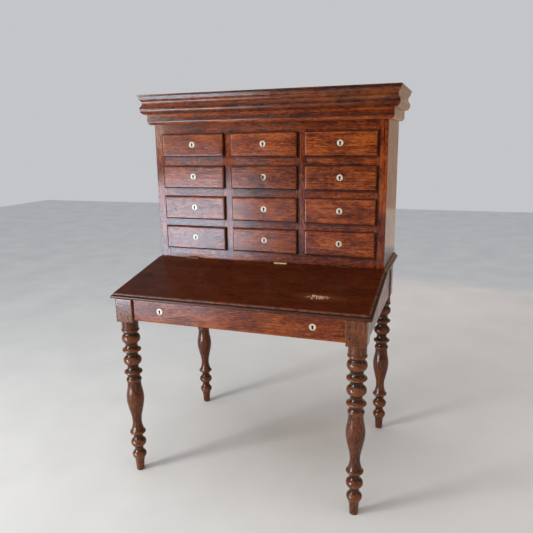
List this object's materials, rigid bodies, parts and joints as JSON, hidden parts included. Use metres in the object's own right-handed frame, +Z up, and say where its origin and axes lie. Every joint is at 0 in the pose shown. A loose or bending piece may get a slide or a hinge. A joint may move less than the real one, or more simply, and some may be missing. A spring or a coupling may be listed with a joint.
{
  "type": "writing desk with drawer case",
  "caption": "Slope-top wooden writing desk on turned legs, with a wide drawer, a lid that lifts and an upright case of small locking drawers under a cornice.",
  "frame": {"origin": "on the floor, at the middle of the desk's bounding box", "axes": "+Z up, -Y towards the person sitting at the desk, +X to that person's right"},
  "size_m": [1.102, 0.7455, 1.573],
  "materials": {
    "stained_wood": "satin, red-brown stain, worn",
    "dark_wood": "satin, darker red-brown stain, scratched",
    "drawer_wood": "satin, red-brown stain over open grain",
    "inner_wood": "raw, aged",
    "bone": "polished",
    "iron": "dull",
    "dark_iron": "dark, handled",
    "hinge_brass": "worn"
  },
  "bodies": {
    "carcase": {"leg_front_left": "stained_wood", "leg_front_right": "stained_wood", "leg_rear_left": "stained_wood", "leg_rear_right": "stained_wood", "side_apron_right": "stained_wood", "side_apron_left": "stained_wood", "back_apron": "inner_wood", "front_frame": "inner_wood", "frame_pegs": "stained_wood", "desk_floor": "inner_wood", "deck_board": "dark_wood", "hinge_fixed_leaves": "hinge_brass", "case_shell": "stained_wood", "face_frame": "stained_wood", "case_dividers": "inner_wood", "case_back": "inner_wood", "cornice": "stained_wood"},
    "lid": {"slope_lid": "dark_wood", "hinge_lid_leaves": "hinge_brass"},
    "wide_drawer": {"wide_drawer": "stained_wood", "wide_escutcheons": "bone"},
    "bolt_wide_left": {"bolt_wide_left": "iron"},
    "bolt_wide_right": {"bolt_wide_right": "iron"},
    "key": {"key": "dark_iron"},
    "drawer_r1c1": {"drawer_r1c1": "drawer_wood", "escutcheon_r1c1": "bone"},
    "bolt_r1c1": {"bolt_r1c1": "iron"},
    "drawer_r1c2": {"drawer_r1c2": "drawer_wood", "escutcheon_r1c2": "bone"},
    "bolt_r1c2": {"bolt_r1c2": "iron"},
    "drawer_r1c3": {"drawer_r1c3": "drawer_wood", "escutcheon_r1c3": "bone"},
    "bolt_r1c3": {"bolt_r1c3": "iron"},
    "drawer_r2c1": {"drawer_r2c1": "drawer_wood", "escutcheon_r2c1": "bone"},
    "bolt_r2c1": {"bolt_r2c1": "iron"},
    "drawer_r2c2": {"drawer_r2c2": "drawer_wood", "escutcheon_r2c2": "bone"},
    "bolt_r2c2": {"bolt_r2c2": "iron"},
    "drawer_r2c3": {"drawer_r2c3": "drawer_wood", "escutcheon_r2c3": "bone"},
    "bolt_r2c3": {"bolt_r2c3": "iron"},
    "drawer_r3c1": {"drawer_r3c1": "drawer_wood", "escutcheon_r3c1": "bone"},
    "bolt_r3c1": {"bolt_r3c1": "iron"},
    "drawer_r3c2": {"drawer_r3c2": "drawer_wood", "escutcheon_r3c2": "bone"},
    "bolt_r3c2": {"bolt_r3c2": "iron"},
    "drawer_r3c3": {"drawer_r3c3": "drawer_wood", "escutcheon_r3c3": "bone"},
    "bolt_r3c3": {"bolt_r3c3": "iron"},
    "drawer_r4c1": {"drawer_r4c1": "drawer_wood", "escutcheon_r4c1": "bone"},
    "bolt_r4c1": {"bolt_r4c1": "iron"},
    "drawer_r4c2": {"drawer_r4c2": "drawer_wood", "escutcheon_r4c2": "bone"},
    "bolt_r4c2": {"bolt_r4c2": "iron"},
    "drawer_r4c3": {"drawer_r4c3": "drawer_wood", "escutcheon_r4c3": "bone"},
    "bolt_r4c3": {"bolt_r4c3": "iron"}
  },
  "joints": [
    {"name": "lid_hinge", "type": "hinge", "parent": "carcase", "child": "lid", "pos_m": [0, 0.008, 0.87], "axis": [1, 0, 0], "range_deg": [-90, 0]},
    {"name": "wide_drawer_slide", "type": "slide", "parent": "carcase", "child": "wide_drawer", "axis": [0, -1, 0], "range_m": [0, 0.4]},
    {"name": "bolt_wide_left_throw", "type": "slide", "parent": "wide_drawer", "child": "bolt_wide_left", "axis": [0, 0, 1], "range_m": [0, 0.008]},
    {"name": "bolt_wide_right_throw", "type": "slide", "parent": "wide_drawer", "child": "bolt_wide_right", "axis": [0, 0, 1], "range_m": [0, 0.008]},
    {"name": "drawer_r1c1_slide", "type": "slide", "parent": "carcase", "child": "drawer_r1c1", "axis": [0, -1, 0], "range_m": [0, 0.24]},
    {"name": "bolt_r1c1_throw", "type": "slide", "parent": "drawer_r1c1", "child": "bolt_r1c1", "axis": [0, 0, 1], "range_m": [0, 0.008]},
    {"name": "drawer_r1c2_slide", "type": "slide", "parent": "carcase", "child": "drawer_r1c2", "axis": [0, -1, 0], "range_m": [0, 0.24]},
    {"name": "bolt_r1c2_throw", "type": "slide", "parent": "drawer_r1c2", "child": "bolt_r1c2", "axis": [0, 0, 1], "range_m": [0, 0.008]},
    {"name": "drawer_r1c3_slide", "type": "slide", "parent": "carcase", "child": "drawer_r1c3", "axis": [0, -1, 0], "range_m": [0, 0.24]},
    {"name": "bolt_r1c3_throw", "type": "slide", "parent": "drawer_r1c3", "child": "bolt_r1c3", "axis": [0, 0, 1], "range_m": [0, 0.008]},
    {"name": "drawer_r2c1_slide", "type": "slide", "parent": "carcase", "child": "drawer_r2c1", "axis": [0, -1, 0], "range_m": [0, 0.24]},
    {"name": "bolt_r2c1_throw", "type": "slide", "parent": "drawer_r2c1", "child": "bolt_r2c1", "axis": [0, 0, 1], "range_m": [0, 0.008]},
    {"name": "drawer_r2c2_slide", "type": "slide", "parent": "carcase", "child": "drawer_r2c2", "axis": [0, -1, 0], "range_m": [0, 0.24]},
    {"name": "bolt_r2c2_throw", "type": "slide", "parent": "drawer_r2c2", "child": "bolt_r2c2", "axis": [0, 0, 1], "range_m": [0, 0.008]},
    {"name": "drawer_r2c3_slide", "type": "slide", "parent": "carcase", "child": "drawer_r2c3", "axis": [0, -1, 0], "range_m": [0, 0.24]},
    {"name": "bolt_r2c3_throw", "type": "slide", "parent": "drawer_r2c3", "child": "bolt_r2c3", "axis": [0, 0, 1], "range_m": [0, 0.008]},
    {"name": "drawer_r3c1_slide", "type": "slide", "parent": "carcase", "child": "drawer_r3c1", "axis": [0, -1, 0], "range_m": [0, 0.24]},
    {"name": "bolt_r3c1_throw", "type": "slide", "parent": "drawer_r3c1", "child": "bolt_r3c1", "axis": [0, 0, 1], "range_m": [0, 0.008]},
    {"name": "drawer_r3c2_slide", "type": "slide", "parent": "carcase", "child": "drawer_r3c2", "axis": [0, -1, 0], "range_m": [0, 0.24]},
    {"name": "bolt_r3c2_throw", "type": "slide", "parent": "drawer_r3c2", "child": "bolt_r3c2", "axis": [0, 0, 1], "range_m": [0, 0.008]},
    {"name": "drawer_r3c3_slide", "type": "slide", "parent": "carcase", "child": "drawer_r3c3", "axis": [0, -1, 0], "range_m": [0, 0.24]},
    {"name": "bolt_r3c3_throw", "type": "slide", "parent": "drawer_r3c3", "child": "bolt_r3c3", "axis": [0, 0, 1], "range_m": [0, 0.008]},
    {"name": "drawer_r4c1_slide", "type": "slide", "parent": "carcase", "child": "drawer_r4c1", "axis": [0, -1, 0], "range_m": [0, 0.24]},
    {"name": "bolt_r4c1_throw", "type": "slide", "parent": "drawer_r4c1", "child": "bolt_r4c1", "axis": [0, 0, 1], "range_m": [0, 0.008]},
    {"name": "drawer_r4c2_slide", "type": "slide", "parent": "carcase", "child": "drawer_r4c2", "axis": [0, -1, 0], "range_m": [0, 0.24]},
    {"name": "bolt_r4c2_throw", "type": "slide", "parent": "drawer_r4c2", "child": "bolt_r4c2", "axis": [0, 0, 1], "range_m": [0, 0.008]},
    {"name": "drawer_r4c3_slide", "type": "slide", "parent": "carcase", "child": "drawer_r4c3", "axis": [0, -1, 0], "range_m": [0, 0.24]},
    {"name": "bolt_r4c3_throw", "type": "slide", "parent": "drawer_r4c3", "child": "bolt_r4c3", "axis": [0, 0, 1], "range_m": [0, 0.008]},
    {"name": "key_turn", "type": "hinge", "parent": "drawer_r2c2", "child": "key", "pos_m": [0, 0.021, 1.23], "axis": [0, 1, 0], "range_deg": [0, 180]}
  ],
  "couplings": [
    {"joint": "bolt_r2c2_throw", "follows": "key_turn", "m_per_rad": 0.002546}
  ]
}
